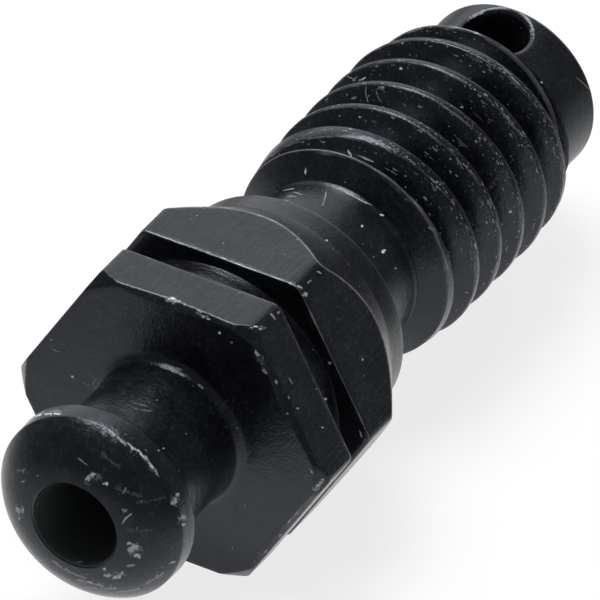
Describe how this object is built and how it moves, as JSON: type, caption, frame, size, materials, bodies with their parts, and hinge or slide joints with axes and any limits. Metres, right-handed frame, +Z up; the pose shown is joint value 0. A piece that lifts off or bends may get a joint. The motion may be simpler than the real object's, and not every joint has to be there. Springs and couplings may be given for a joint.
{
  "type": "bleeder screw",
  "caption": "Black steel brake bleeder screw with a hose nipple, a grooved hexagon, a relief neck, a coarse thread and a cross-drilled tip.",
  "frame": {"origin": "on the screw's axis, in the plane of the shoulder behind the hexagon where the thread side begins", "axes": "+X along the screw's axis from the hose nipple to the tip, +Z up and square to the upper flat of the hexagon"},
  "size_m": [0.0289, 0.011, 0.0096],
  "materials": {
    "blackened_steel": "black oxide, semi-gloss, fine turning and drawing marks"
  },
  "bodies": {
    "root": {"bleeder_screw": "blackened_steel"}
  },
  "joints": []
}
